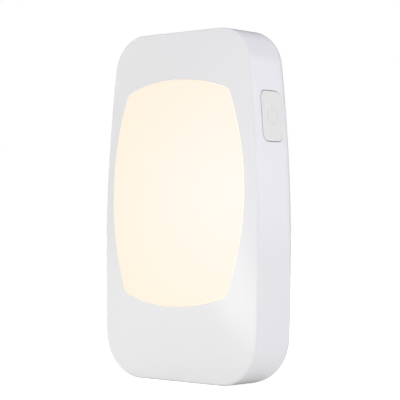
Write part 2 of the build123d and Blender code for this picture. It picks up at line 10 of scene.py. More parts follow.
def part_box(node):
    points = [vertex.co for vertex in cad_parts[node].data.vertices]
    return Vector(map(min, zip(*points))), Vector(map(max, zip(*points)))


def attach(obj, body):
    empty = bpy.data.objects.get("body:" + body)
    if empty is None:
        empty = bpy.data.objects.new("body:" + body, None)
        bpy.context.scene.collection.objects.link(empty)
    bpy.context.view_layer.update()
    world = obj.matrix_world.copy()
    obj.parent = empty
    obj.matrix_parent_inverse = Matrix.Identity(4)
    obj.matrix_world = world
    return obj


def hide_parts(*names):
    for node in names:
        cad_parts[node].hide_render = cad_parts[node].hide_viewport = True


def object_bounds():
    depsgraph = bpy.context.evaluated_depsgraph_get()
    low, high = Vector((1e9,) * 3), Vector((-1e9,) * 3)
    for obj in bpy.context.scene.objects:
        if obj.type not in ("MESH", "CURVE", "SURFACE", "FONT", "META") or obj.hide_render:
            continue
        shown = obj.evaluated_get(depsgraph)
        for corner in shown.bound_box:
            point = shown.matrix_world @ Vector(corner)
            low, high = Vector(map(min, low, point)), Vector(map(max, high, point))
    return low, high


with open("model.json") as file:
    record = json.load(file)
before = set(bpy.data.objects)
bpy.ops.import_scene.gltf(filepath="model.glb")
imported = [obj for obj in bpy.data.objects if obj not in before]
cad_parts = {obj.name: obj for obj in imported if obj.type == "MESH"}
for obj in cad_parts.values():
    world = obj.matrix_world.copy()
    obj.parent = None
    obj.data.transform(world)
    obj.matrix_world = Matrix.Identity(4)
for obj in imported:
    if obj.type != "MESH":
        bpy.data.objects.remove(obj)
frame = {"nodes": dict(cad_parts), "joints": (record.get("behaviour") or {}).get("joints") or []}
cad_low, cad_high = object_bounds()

bl_info = {
    "name": "Night light looks",
    "version": (1, 0, 0),
    "blender": (4, 5, 0),
    "location": "View3D > Sidebar > Night light",
    "description": "Finishes, fine details and a white studio for a plug-in night light",
    "category": "Object",
}

# Lengths in the scene are metres. Those of fine details are given in millimetres and turned by MM.
MM = 0.001
WELD_MM = 0.001
PIVOT = Vector(next(joint["pos_m"] for joint in frame["joints"] if joint["name"] == "plug_fold"))
LENS_LOW, LENS_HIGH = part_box("diffuser_lens")
BUTTON_LOW, BUTTON_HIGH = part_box("side_button")

# How finely round shapes are drawn: steps along the sign's ring, a line's round end, the end of a blade's
# tail, the rim of a screw head and a blade's hole, and round a screw and the floor.
RING_STEPS, SIGN_END_STEPS, BAR_END_STEPS, TAIL_STEPS, HEAD_STEPS = 64, 8, 10, 8, 8
HOLE_STEPS, SCREW_STEPS, FLOOR_STEPS = 40, 48, 96

# The studio's soft light panels: name, place and size in metres, power in watts, colour, and whether one
# lights body colours only, shows in gloss only, or does both.
PANELS = (
    ("front_strip", (-0.2, -0.45, 0.04), (0.12, 0.06), 0.762, "#FDFFF9", "body"),
    ("front_glint", (-0.008, -0.095, 0.037), (0.034, 0.07), 0.0125, "#FDFFF9", "gloss"),
    ("right_panel", (0.9, 0.0, 0.3), (0.4, 0.5), 1.54, "#FDFCFF", "all"),
    ("right_card", (0.22, -0.2, 0.1), (0.12, 0.16), 0.117, "#F5F7FF", "body"),
    ("rear_panel", (0.7, 0.6, 0.3), (0.4, 0.5), 1.03, "#F5F1FF", "all"),
    ("left_panel", (-0.9, 0.35, 0.3), (0.4, 0.5), 0.9, "#FFFFFF", "body"),
    ("back_panel", (-0.6, 0.8, 0.3), (0.4, 0.5), 2.0, "#FFFFFF", "body"),
)


def linear(code):
    """An sRGB hex colour in linear light, with full alpha."""
    channels = [int(code[place : place + 2], 16) / 255 for place in (1, 3, 5)]
    return (*(c / 12.92 if c <= 0.04045 else ((c + 0.055) / 1.055) ** 2.4 for c in channels), 1.0)


def per_mm(size):
    """The texture scale of a pattern whose features are so many millimetres apart."""
    return 1 / (size * MM)


def length(name, description, millimetres):
    """A length that a user can change, given in millimetres."""
    return bpy.props.FloatProperty(
        name=name, description=description, default=millimetres * MM, precision=5, unit="LENGTH"
    )


def colour(name, description, code):
    """A colour that a user can change, given as sRGB hex."""
    return bpy.props.FloatVectorProperty(
        name=name, description=description, default=linear(code), size=4, subtype="COLOR", min=0, max=1
    )


def angle(name, description, degrees):
    """An angle that a user can change, given in degrees."""
    return bpy.props.FloatProperty(
        name=name, description=description, default=math.radians(degrees), subtype="ANGLE"
    )


def amount(name, description, value):
    """A plain number that a user can change."""
    return bpy.props.FloatProperty(name=name, description=description, default=value, min=0)


class NightLightSizes(bpy.types.PropertyGroup):
    """Sizes of the fine details."""

    sign_radius: length("Sign radius", "Middle of the power sign's ring", 2.3)
    sign_stroke: length("Sign stroke", "Width of the power sign's lines", 0.5)
    sign_gap: angle("Sign gap", "Half of the opening at the top of the ring", 34)
    sign_bar_low: length("Sign bar start", "Lower end of the sign's bar above the ring's centre", 0.9)
    sign_bar_high: length("Sign bar end", "Upper end of the sign's bar above the ring's centre", 3.6)
    sign_relief: length("Sign relief", "How far the sign stands out of the button", 0.06)
    sign_thickness: length("Sign thickness", "Thickness of the sign, most of it sunk in the button", 0.3)
    blade_edge: length("Blade edge", "Rounding of the plug blades' edges", 0.22)
    blade_tip: length("Blade tip", "Chamfer at the plug blades' tips", 1.3)
    blade_hole: length("Blade hole", "Radius of the hole through each blade", 1.6)
    blade_hole_drop: length("Blade hole place", "Hole's distance from the carrier", 11.9)
    tail_width: length("Tail width", "Width of each blade's contact tail", 3.2)
    head_radius: length("Screw head radius", "Radius of the case screws' heads", 2.4)
    head_height: length("Screw head height", "Height of the case screws' heads", 1.9)
    shank_radius: length("Screw shank radius", "Radius over the case screws' threads", 1.2)
    thread_pitch: length("Thread pitch", "Distance between the turns of the thread", 1.0)
    thread_depth: length("Thread depth", "Depth of the thread", 0.28)
    recess_span: length("Recess span", "Tip-to-tip length of the cross recess", 2.9)
    recess_width: length("Recess width", "Width of the cross recess's arms", 0.62)
    recess_depth: length("Recess depth", "Depth of the cross recess", 1.1)


class NightLightColours(bpy.types.PropertyGroup):
    """Colours of the parts that show."""

    casing: colour("Casing", "Gloss white plastic of the front casing", "#EDEDEE")
    back: colour("Back", "Satin white plastic of the back plate", "#EAEAEB")
    well: colour("Plug well", "Satin white plastic of the well and the roller", "#E6E6E7")
    button: colour("Button", "Grey-white plastic of the push button", "#EAEBE6")
    sign: colour("Power sign", "Sign on the push button", "#E7E8E3")
    lens: colour("Lens", "Opal plastic of the window", "#C4C0BA")
    # The palest glow is partly the lamp's own light and partly a painted highlight near the window's right
    # edge.
    glow_at_painted_highlight: colour("Glow, palest", "The window's light at its palest place", "#FFEDE3")
    glow_warm: colour("Glow, warmest", "The window's light far from its palest place", "#FFE3BC")


class NightLightStudio(bpy.types.PropertyGroup):
    """Camera, light and floor."""

    camera_place: bpy.props.FloatVectorProperty(
        name="Camera place", description="Where the camera stands", default=(0.319434, -0.353226, 0.049418),
        unit="LENGTH", precision=5,
    )
    camera_yaw: angle("Camera yaw", "Turn of the camera towards the object's right side", 41.85)
    camera_pitch: angle("Camera pitch", "How far the camera looks up", 0.93)
    camera_roll: angle("Camera roll", "Turn of the camera about its own axis", 0.383)
    camera_lens: length("Camera lens", "Focal length on a sensor 36 mm wide", 135.14)
    glow_strength: amount("Glow", "Strength of the window's own light", 0.5)
    dome_side: amount("Dome, sides", "Strength of the light from the sides", 0.29)
    dome_side_tone: colour("Dome colour, sides", "Colour of the light from the sides", "#FCFCFF")
    dome_top: amount("Dome, top", "Strength of the light from above", 1.21)
    dome_top_tone: colour("Dome colour, top", "Colour of the light from above", "#FAF8FF")
    floor_radius: length("Floor radius", "Radius of the round floor", 6000)
    floor_glow: amount("Floor glow", "How much the floor is lit from below", 0.087)
    floor_seen: amount("Floor brightness", "The floor's own light as the camera sees it", 0.8)


def start(name):
    """A new material with an empty node tree, and the socket that gives places on the part in metres."""
    made = bpy.data.materials.new(name)
    made.use_nodes = True
    made.node_tree.nodes.clear()
    places = add(made.node_tree, "ShaderNodeTexCoord", {})
    return made, made.node_tree, places.outputs["Object"]


def add(tree, kind, inputs, **settings):
    """Add one node. Settings go on the node, and each input is a value, or an output socket to link."""
    node = tree.nodes.new(kind)
    for name, value in settings.items():
        setattr(node, name, value)
    for key, value in inputs.items():
        if isinstance(value, bpy.types.NodeSocket):
            tree.links.new(value, node.inputs[key])
        else:
            node.inputs[key].default_value = value
    return node


def finish(tree, inputs):
    """End a material with its surface shader."""
    shader = add(tree, "ShaderNodeBsdfPrincipled", inputs)
    add(tree, "ShaderNodeOutputMaterial", {"Surface": shader.outputs["BSDF"]})


def darker(tone, share):
    """A colour with its light cut to a share."""
    return (*(channel * share for channel in tone[:3]), 1.0)


# Sockets of a colour mix, by number because its names repeat: factor, first and second colour, result.
FACTOR, FIRST, SECOND, RESULT = 0, 6, 7, 2


def moulded_plastic(name, tone, roughness, ior, grain_mm, grain_height_mm, spread=0.975, shade=0.0):
    """A moulded plastic: a faint drift of tone from the melt's flow, and the tool's texture in the skin.

    Spread is the light left in the darkest flow, and shade the share of it taken from the grain's dips as
    painted shade.
    """
    flow_mm, hollow, hill = 40, 0.3, 0.6
    made, tree, place = start(name)
    flow = add(tree, "ShaderNodeTexNoise", {"Vector": place, "Scale": per_mm(flow_mm), "Detail": 2.0})
    tint = add(
        tree, "ShaderNodeMix",
        {FACTOR: flow.outputs[0], FIRST: tone, SECOND: darker(tone, spread)}, data_type="RGBA",
    )
    grain = add(tree, "ShaderNodeTexNoise", {"Vector": place, "Scale": per_mm(grain_mm), "Detail": 3.0})
    # Painted shade: the grain's dips are darkened in the colour, standing in for the shadows in the
    # texture.
    hollow_shade = add(
        tree, "ShaderNodeMapRange",
        {"Value": grain.outputs[0], "From Min": hollow, "From Max": hill, "To Min": 1 - shade},
    )
    skin = add(
        tree, "ShaderNodeMix",
        {FACTOR: 1.0, FIRST: tint.outputs[RESULT], SECOND: hollow_shade.outputs[0]},
        data_type="RGBA", blend_type="MULTIPLY",
    )
    gloss = add(
        tree, "ShaderNodeMapRange",
        {"Value": grain.outputs[0], "To Min": roughness * 0.9, "To Max": roughness * 1.1},
    )
    bump = add(
        tree, "ShaderNodeBump",
        {"Height": grain.outputs[0], "Strength": 0.5, "Distance": grain_height_mm * MM},
    )
    finish(
        tree,
        {
            "Base Color": skin.outputs[RESULT],
            "Roughness": gloss.outputs[0],
            "IOR": ior,
            "Normal": bump.outputs[0],
        },
    )
    return made


def polished_white_abs(colours):
    """ABS from a polished tool: a clear soft gloss over a very slightly wavy skin."""
    return moulded_plastic("polished_white_abs", colours.casing, 0.2, 1.54, 6.0, 0.004)


def satin_white_abs(colours):
    """ABS from a spark-eroded tool: an even grain that spreads the highlights.

    The real grain, about 0.1 mm wide, is drawn coarser so that it shows.
    """
    return moulded_plastic("satin_white_abs", colours.back, 0.42, 1.54, 0.8, 0.05, shade=0.07)


def satin_white_pbt(colours):
    """PBT of the plug well and its roller: a little duller and greyer than the back plate.

    Its grain is drawn as coarse as the back plate's.
    """
    return moulded_plastic("satin_white_pbt", colours.well, 0.46, 1.55, 0.8, 0.05, shade=0.06)


def satin_grey_polycarbonate(colours):
    """Polycarbonate of the push button: pale grey, with a satin skin.

    Its fine grain is drawn coarser so that it shows.
    """
    return moulded_plastic("satin_grey_polycarbonate", colours.button, 0.34, 1.58, 0.7, 0.02, shade=0.03)


def grey_pad_print(colours):
    """Ink of the power sign: a thin, flat, slightly uneven layer."""
    return moulded_plastic("grey_pad_print", colours.sign, 0.5, 1.5, 0.3, 0.004, 0.93)


def matte_white_polycarbonate():
    """Polycarbonate full of white pigment, for the reflector: a flat, dull white."""
    return moulded_plastic("matte_white_polycarbonate", linear("#F4F4F2"), 0.6, 1.58, 0.6, 0.01)


def natural_nylon():
    """Nylon without pigment, for the switch's plunger: a waxy off-white."""
    return moulded_plastic("natural_nylon", linear("#E4E1D6"), 0.42, 1.53, 0.5, 0.01)


def phosphor_resin():
    """Silicone with phosphor in it, cast over the chips: a deep, slightly mottled yellow."""
    return moulded_plastic("phosphor_resin", linear("#E9C24A"), 0.3, 1.52, 0.2, 0.01, 0.9)


def clear_epoxy():
    """Cast epoxy of the light sensor: pale and glassy, with a sharp gloss."""
    return moulded_plastic("clear_epoxy", linear("#C8CFD2"), 0.12, 1.55, 1.5, 0.002)


def black_moulded_epoxy():
    """Filled epoxy of the chips: a dull black with a sandy skin."""
    return moulded_plastic("black_moulded_epoxy", linear("#1C1C1E"), 0.55, 1.55, 0.25, 0.02, 0.8)


def yellow_pbt_box():
    """PBT box round the film capacitor: an even warm yellow with a light satin."""
    return moulded_plastic("yellow_pbt_box", linear("#D8A427"), 0.35, 1.55, 0.5, 0.01)


def pvc_insulation(name, code):
    """Extruded PVC on a wire: one even colour with a soft satin."""
    return moulded_plastic(name, linear(code), 0.45, 1.53, 0.5, 0.01)


def opal_acrylic(colours, strength):
    """Opal acrylic lit from behind: a milky glow, warmer away from its right edge, with a painted highlight
    that makes it palest near that edge.
    """
    # In halves of the window's width and height: the painted highlight's place from its middle, and how far
    # it fades.
    highlight_x, highlight_z, fade_x, fade_z = 0.95, 0.02, 2.4, 1.5
    made, tree, place = start("opal_acrylic")
    half = (LENS_HIGH - LENS_LOW) / 2
    palest = (LENS_LOW + LENS_HIGH) / 2 + Vector((half.x * highlight_x, 0, half.z * highlight_z))
    reach = Vector((half.x * fade_x, 0, half.z * fade_z))
    spread = add(
        tree, "ShaderNodeMapping",
        {
            "Vector": place,
            "Location": (-palest.x / reach.x, 0, -palest.z / reach.z),
            "Scale": (1 / reach.x, 0, 1 / reach.z),
        },
    )
    # Painted highlight: the glow turns from warm to pale towards a place near the window's right edge.
    inward = add(tree, "ShaderNodeTexGradient", {"Vector": spread.outputs[0]}, gradient_type="SPHERICAL")
    glow = add(
        tree, "ShaderNodeMix",
        {FACTOR: inward.outputs[1], FIRST: colours.glow_warm, SECOND: colours.glow_at_painted_highlight},
        data_type="RGBA",
    )
    # Light also leaves by the window's edge, where the surface turns from the front, so the gap stays pale.
    front, side, edge_share = -0.7, -0.3, 0.6
    surface = add(tree, "ShaderNodeTexCoord", {})
    facing = add(tree, "ShaderNodeSeparateXYZ", {"Vector": surface.outputs["Normal"]})
    edge = add(
        tree, "ShaderNodeMapRange",
        {"Value": facing.outputs["Y"], "From Min": front, "From Max": side, "To Max": edge_share},
    )
    leak = add(
        tree, "ShaderNodeMix",
        {FACTOR: edge.outputs[0], FIRST: glow.outputs[RESULT], SECOND: colours.glow_warm},
        data_type="RGBA", blend_type="ADD",
    )
    cloud = add(tree, "ShaderNodeTexNoise", {"Vector": place, "Scale": per_mm(12), "Detail": 2.0})
    milk = add(
        tree, "ShaderNodeMix",
        {FACTOR: cloud.outputs[0], FIRST: colours.lens, SECOND: darker(colours.lens, 0.98)},
        data_type="RGBA",
    )
    finish(
        tree,
        {
            "Base Color": milk.outputs[RESULT],
            "Roughness": 0.6,
            "IOR": 1.49,
            "Emission Color": leak.outputs[RESULT],
            "Emission Strength": strength,
        },
    )
    return made


def plated_metal(name, code, roughness, grain, height_mm):
    """A plated metal: fine lines drawn out along the grain, and a patchy sheen.

    Real rolling lines are too fine to show, so they are drawn coarser.
    """
    made, tree, place = start(name)
    stretched = add(tree, "ShaderNodeMapping", {"Vector": place, "Scale": grain})
    lines = add(tree, "ShaderNodeTexNoise", {"Vector": stretched.outputs[0], "Scale": 1.0, "Detail": 4.0})
    patches = add(tree, "ShaderNodeTexNoise", {"Vector": place, "Scale": per_mm(2.5), "Detail": 2.0})
    sheen = add(
        tree, "ShaderNodeMapRange",
        {"Value": lines.outputs[0], "To Min": roughness * 0.7, "To Max": roughness * 1.4},
    )
    tint = add(
        tree, "ShaderNodeMix",
        {FACTOR: patches.outputs[0], FIRST: linear(code), SECOND: darker(linear(code), 0.86)},
        data_type="RGBA",
    )
    bump = add(
        tree, "ShaderNodeBump", {"Height": lines.outputs[0], "Strength": 0.4, "Distance": height_mm * MM}
    )
    finish(
        tree,
        {
            "Base Color": tint.outputs[RESULT],
            "Metallic": 1.0,
            "Roughness": sheen.outputs[0],
            "Normal": bump.outputs[0],
        },
    )
    return made


def nickel_plated_brass():
    """Stamped brass under nickel: warm grey, with rolling lines along the blade."""
    lines = (per_mm(0.2), per_mm(0.2), per_mm(4))
    return plated_metal("nickel_plated_brass", "#C9C4BA", 0.26, lines, 0.006)


def zinc_plated_steel():
    """Bright zinc on steel screws: a cool, cloudy grey."""
    return plated_metal("zinc_plated_steel", "#AEB1B6", 0.34, (per_mm(0.6),) * 3, 0.008)


def nickel_strip():
    """Rolled nickel strip welded to the cell: plain grey with lines along it."""
    lines = (per_mm(0.3), per_mm(0.3), per_mm(5))
    return plated_metal("nickel_strip", "#B9B5AD", 0.3, lines, 0.004)


def phosphor_bronze():
    """Rolled bronze spring strip: coppery gold with lines along it."""
    lines = (per_mm(0.3), per_mm(0.3), per_mm(5))
    return plated_metal("phosphor_bronze", "#C08A4E", 0.28, lines, 0.004)


def banded(name, base_code, band_code, spacing_mm, direction, roughness, ior):
    """A lacquered or sleeved body with coloured bands across it."""
    made, tree, place = start(name)
    # The wave texture has 10 / pi bands to a unit at scale 1.
    bands = add(
        tree, "ShaderNodeTexWave",
        {"Vector": place, "Scale": per_mm(spacing_mm) * math.pi / 10, "Distortion": 0.0},
        wave_type="BANDS", bands_direction=direction,
    )
    edges = add(
        tree, "ShaderNodeMapRange",
        {"Value": bands.outputs[1], "From Min": 0.86, "From Max": 0.9},
    )
    tint = add(
        tree, "ShaderNodeMix",
        {FACTOR: edges.outputs[0], FIRST: linear(base_code), SECOND: linear(band_code)}, data_type="RGBA",
    )
    skin = add(tree, "ShaderNodeTexNoise", {"Vector": place, "Scale": per_mm(0.4), "Detail": 2.0})
    bump = add(tree, "ShaderNodeBump", {"Height": skin.outputs[0], "Strength": 0.3, "Distance": 0.01 * MM})
    finish(
        tree,
        {
            "Base Color": tint.outputs[RESULT],
            "Roughness": roughness,
            "IOR": ior,
            "Normal": bump.outputs[0],
        },
    )
    return made


def sleeved_aluminium_can():
    """Shrunk PVC over an aluminium can: dark blue, with a pale stripe for the minus side."""
    return banded("sleeved_aluminium_can", "#23263A", "#B8BAC4", 7.0, "Z", 0.35, 1.52)


def lacquered_ceramic_rod():
    """Lacquer on a ceramic rod: grey-green, with brown rings for its value."""
    return banded("lacquered_ceramic_rod", "#6E8C84", "#7A3B1E", 2.4, "Z", 0.4, 1.55)


def blue_shrink_sleeve():
    """Shrunk sleeve round the cell: a smooth blue, with pale rings."""
    return banded("blue_shrink_sleeve", "#1F4F8C", "#C9CDD2", 13.0, "X", 0.3, 1.55)


def green_solder_resist():
    """Green lacquer on a glass-cloth board: a faint woven grid under a satin coat.

    The real weave, about 0.5 mm, is drawn coarser so that it shows.
    """
    made, tree, place = start("green_solder_resist")
    cloth = add(
        tree, "ShaderNodeTexBrick",
        {
            "Vector": place,
            "Scale": per_mm(1.2),
            "Color1": linear("#1F6B3A"),
            "Color2": linear("#247343"),
            "Mortar": linear("#185630"),
        },
        offset=0.5,
    )
    bump = add(
        tree, "ShaderNodeBump",
        {"Height": cloth.outputs["Fac"], "Strength": 0.3, "Distance": 0.01 * MM},
    )
    finish(
        tree,
        {"Base Color": cloth.outputs["Color"], "Roughness": 0.4, "IOR": 1.5, "Normal": bump.outputs[0]},
    )
    return made


def seamless_white_paper(studio):
    """Matte background paper, lit a little from below, and so bright to the camera that it has no edge."""
    made, tree, place = start("seamless_white_paper")
    clouds = add(tree, "ShaderNodeTexNoise", {"Vector": place, "Scale": per_mm(300), "Detail": 2.0})
    tint = add(
        tree, "ShaderNodeMix",
        {FACTOR: clouds.outputs[0], FIRST: linear("#EEEEEA"), SECOND: linear("#ECECE8")}, data_type="RGBA",
    )
    ray = add(tree, "ShaderNodeLightPath", {})
    glow = add(
        tree, "ShaderNodeMapRange",
        {"Value": ray.outputs["Is Camera Ray"], "To Min": studio.floor_glow, "To Max": studio.floor_seen},
    )
    finish(
        tree,
        {
            "Base Color": tint.outputs[RESULT],
            "Roughness": 0.9,
            "Specular IOR Level": 0.0,
            "Emission Color": linear("#FFFFFF"),
            "Emission Strength": glow.outputs[0],
        },
    )
    return made


def dress(finish_of):
    """Give each named node its material."""
    for node, made in finish_of.items():
        frame["nodes"][node].material_slots[0].material = made


def link(name, mesh, made, body):
    """Put a mesh in the scene with its material, riding on a body."""
    piece = bpy.data.objects.new(name, mesh)
    bpy.context.scene.collection.objects.link(piece)
    mesh.materials.append(made)
    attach(piece, body)
    return piece


def arc(radius, first, last, steps, centre=(0, 0)):
    """Points along an arc, from one angle to another."""
    angles = [first + (last - first) * step / steps for step in range(steps + 1)]
    return [(centre[0] + radius * math.cos(a), centre[1] + radius * math.sin(a)) for a in angles]


def plate(name, outlines, thickness, edge, place):
    """A flat mesh with rounded edges inside closed outlines, given in metres and moved to its place.

    It is drawn in millimetres and scaled down at the end.
    """
    curve = bpy.data.curves.new(name, "CURVE")
    curve.dimensions = "2D"
    curve.fill_mode = "BOTH"
    curve.extrude = (thickness / 2 - edge) / MM
    curve.bevel_depth = edge / MM
    curve.bevel_resolution = 2
    curve.offset = -edge / MM
    for outline in outlines:
        spline = curve.splines.new("POLY")
        spline.points.add(len(outline) - 1)
        for point, (x, y) in zip(spline.points, outline):
            point.co = (x / MM, y / MM, 0, 1)
        spline.use_cyclic_u = True
    drawn = bpy.data.objects.new(name, curve)
    mesh = bpy.data.meshes.new_from_object(drawn)
    bpy.data.objects.remove(drawn)
    bpy.data.curves.remove(curve)
    shape = bmesh.new()
    shape.from_mesh(mesh)
    bmesh.ops.remove_doubles(shape, verts=shape.verts, dist=WELD_MM)
    bmesh.ops.recalc_face_normals(shape, faces=shape.faces)
    shape.to_mesh(mesh)
    shape.free()
    mesh.transform(place @ Matrix.Scale(MM, 4))
    return mesh


def upright(normal):
    """A frame whose third axis is the normal, and whose second points as far up as it can."""
    out = normal.normalized()
    up = (Vector((0, 0, 1)) - out * out.z).normalized()
    return Matrix((up.cross(out), up, out)).transposed().to_4x4()


def button_face():
    """Where the middle of the button's outer face is, and which way it faces."""
    mesh = frame["nodes"]["side_button"].data
    tree = BVHTree.FromPolygons([v.co for v in mesh.vertices], [p.vertices for p in mesh.polygons])
    middle = (BUTTON_LOW + BUTTON_HIGH) / 2
    outside = Vector((BUTTON_HIGH.x * 2, middle.y, middle.z))
    return tree.ray_cast(outside, Vector((-1, 0, 0)))[:2]


def sign_outlines(sizes):
    """The power sign: an open ring, and a bar through its opening, both with round ends."""
    half = sizes.sign_stroke / 2
    radius = sizes.sign_radius
    first = math.pi / 2 + sizes.sign_gap
    last = math.pi / 2 - sizes.sign_gap + 2 * math.pi
    first_end = (radius * math.cos(first), radius * math.sin(first))
    last_end = (radius * math.cos(last), radius * math.sin(last))
    ring = arc(radius + half, first, last, RING_STEPS)
    ring += arc(half, last, last + math.pi, SIGN_END_STEPS, last_end)[1:]
    ring += arc(radius - half, last, first, RING_STEPS)[1:]
    ring += arc(half, first + math.pi, first + 2 * math.pi, SIGN_END_STEPS, first_end)[1:-1]
    bar = arc(half, 0, math.pi, BAR_END_STEPS, (0, sizes.sign_bar_high - half))
    bar += arc(half, math.pi, 2 * math.pi, BAR_END_STEPS, (0, sizes.sign_bar_low + half))
    return [ring, bar]


def blade_outlines(sizes):
    """A plug blade about its pivot: chamfered tip, shoulders in the roller, a round-ended tail, a hole."""
    low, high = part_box("plug_blade_left")
    half = (high.y - low.y) / 2
    tail = sizes.tail_width / 2
    reach = high.z - PIVOT.z
    tip = low.z - PIVOT.z
    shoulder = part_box("plug_carrier")[0].z - PIVOT.z
    turn = math.asin(tail / reach)
    chamfer = sizes.blade_tip
    right = [(half - chamfer, tip), (half, tip + chamfer), (half, shoulder), (tail, shoulder)]
    end = arc(reach, math.pi / 2 - turn, math.pi / 2 + turn, TAIL_STEPS)
    left = [(-tail, shoulder), (-half, shoulder), (-half, tip + chamfer), (chamfer - half, tip)]
    hole = arc(sizes.blade_hole, 0, -2 * math.pi, HOLE_STEPS, (0, shoulder - sizes.blade_hole_drop))[:-1]
    return [right + end + left, hole]


def quarter_boxes(node):
    """The boxes round a node's four like solids, one in each quarter of its face."""
    points = [vertex.co for vertex in frame["nodes"][node].data.vertices]
    middle = (min(p.z for p in points) + max(p.z for p in points)) / 2
    boxes = []
    for right in (False, True):
        for top in (False, True):
            inside = [p for p in points if (p.x > 0) == right and (p.z > middle) == top]
            low = Vector([min(p[axis] for p in inside) for axis in range(3)])
            high = Vector([max(p[axis] for p in inside) for axis in range(3)])
            boxes.append((low, high))
    return boxes


def screw_profile(sizes, shank_length):
    """Half the section of a pan-head screw, as radius and height over its seat."""
    round_off = sizes.head_height / 2
    centre = (sizes.head_radius - round_off, sizes.head_height - round_off)
    rim = arc(round_off, math.pi / 2, 0, HEAD_STEPS, centre)
    points = [(0, sizes.head_height)] + rim + [(sizes.head_radius, 0), (sizes.shank_radius, 0)]
    turns = int(shank_length / sizes.thread_pitch) - 1
    for turn in range(turns):
        height = -(turn + 0.5) * sizes.thread_pitch
        points.append((sizes.shank_radius - sizes.thread_depth, height))
        points.append((sizes.shank_radius, height - sizes.thread_pitch / 2))
    points.append((sizes.shank_radius - sizes.thread_depth, -shank_length + sizes.thread_pitch / 2))
    points.append((0, -shank_length))
    return points


def lathe(profile):
    """A closed mesh spun from a half section about its own height."""
    shape = bmesh.new()
    corners = [shape.verts.new((radius, 0, height)) for radius, height in profile]
    edges = [shape.edges.new(pair) for pair in zip(corners, corners[1:])]
    bmesh.ops.spin(
        shape, geom=corners + edges, cent=(0, 0, 0), axis=(0, 0, 1), angle=2 * math.pi, steps=SCREW_STEPS,
        use_merge=True,
    )
    bmesh.ops.remove_doubles(shape, verts=shape.verts, dist=WELD_MM * MM)
    bmesh.ops.recalc_face_normals(shape, faces=shape.faces)
    mesh = bpy.data.meshes.new("spun")
    shape.to_mesh(mesh)
    shape.free()
    return mesh


def cross_cutter(sizes):
    """The driver's cross: two arms that taper towards the bottom of the recess and rise above the head."""
    bottom_share, above = 0.55, MM
    shape = bmesh.new()
    for span, width in ((sizes.recess_span, sizes.recess_width), (sizes.recess_width, sizes.recess_span)):
        arm = bmesh.ops.create_cube(shape, size=1)["verts"]
        for vertex in arm:
            share = bottom_share if vertex.co.z < 0 else 1.0
            height = sizes.head_height + (above if vertex.co.z > 0 else -sizes.recess_depth)
            vertex.co = Vector((vertex.co.x * span * share, vertex.co.y * width * share, height))
    mesh = bpy.data.meshes.new("cross")
    shape.to_mesh(mesh)
    shape.free()
    return mesh


def cut(mesh, cutter_mesh):
    """A mesh with another taken out of it."""
    scene = bpy.context.scene
    body = bpy.data.objects.new("cut_body", mesh)
    cutter = bpy.data.objects.new("cut_tool", cutter_mesh)
    for each in (body, cutter):
        scene.collection.objects.link(each)
    change = body.modifiers.new("cut", "BOOLEAN")
    change.object = cutter
    change.solver = "EXACT"
    change.use_self = True
    bpy.context.view_layer.update()
    result = bpy.data.meshes.new_from_object(body.evaluated_get(bpy.context.evaluated_depsgraph_get()))
    for each in (body, cutter):
        bpy.data.objects.remove(each)
    return result


class NIGHT_LIGHT_OT_casing(bpy.types.Operator):
    """Finish the front casing and the back plate"""

    bl_idname = "night_light.casing"
    bl_label = "Casing"

    def execute(self, context):
        colours = context.scene.night_light_colours
        dress({"front_shell": polished_white_abs(colours), "back_plate": satin_white_abs(colours)})
        return {"FINISHED"}


class NIGHT_LIGHT_OT_lens(bpy.types.Operator):
    """Finish the glowing window and what lies behind it"""

    bl_idname = "night_light.lens"
    bl_label = "Window"

    def execute(self, context):
        colours = context.scene.night_light_colours
        strength = context.scene.night_light_studio.glow_strength
        dress(
            {
                "diffuser_lens": opal_acrylic(colours, strength),
                "reflector_tray": matte_white_polycarbonate(),
                "led_chips": phosphor_resin(),
                "light_sensor": clear_epoxy(),
            }
        )
        return {"FINISHED"}


class NIGHT_LIGHT_OT_button(bpy.types.Operator):
    """Finish the push button and put the power sign on it"""

    bl_idname = "night_light.button"
    bl_label = "Push button"

    def execute(self, context):
        colours = context.scene.night_light_colours
        sizes = context.scene.night_light_sizes
        dress({"side_button": satin_grey_polycarbonate(colours), "switch_stem": natural_nylon()})
        place, normal = button_face()
        sunk = sizes.sign_thickness / 2 - sizes.sign_relief
        seat = Matrix.Translation(place - normal * sunk) @ upright(normal)
        mesh = plate("power_sign", sign_outlines(sizes), sizes.sign_thickness, sizes.sign_relief / 2, seat)
        link("power_sign", mesh, grey_pad_print(colours), "button")
        return {"FINISHED"}


class NIGHT_LIGHT_OT_screws(bpy.types.Operator):
    """Replace the case screws by ones with cross recesses, and finish the inner screws"""

    bl_idname = "night_light.screws"
    bl_label = "Screws"

    def execute(self, context):
        sizes = context.scene.night_light_sizes
        zinc = zinc_plated_steel()
        dress({"board_screws": zinc, "retainer_screws": zinc})
        boxes = quarter_boxes("case_screws")
        low, high = boxes[0]
        shank_length = high.y - low.y - sizes.head_height
        screw = cut(lathe(screw_profile(sizes, shank_length)), cross_cutter(sizes))
        group = bmesh.new()
        for low, high in boxes:
            seat = Vector(((low.x + high.x) / 2, high.y - sizes.head_height, (low.z + high.z) / 2))
            one = screw.copy()
            one.transform(Matrix.Translation(seat) @ upright(Vector((0, 1, 0))))
            group.from_mesh(one)
            bpy.data.meshes.remove(one)
        mesh = bpy.data.meshes.new("case_screws_cross")
        group.to_mesh(mesh)
        group.free()
        piece = link("case_screws_cross", mesh, zinc, "casing")
        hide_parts("case_screws")
        return {"FINISHED"}


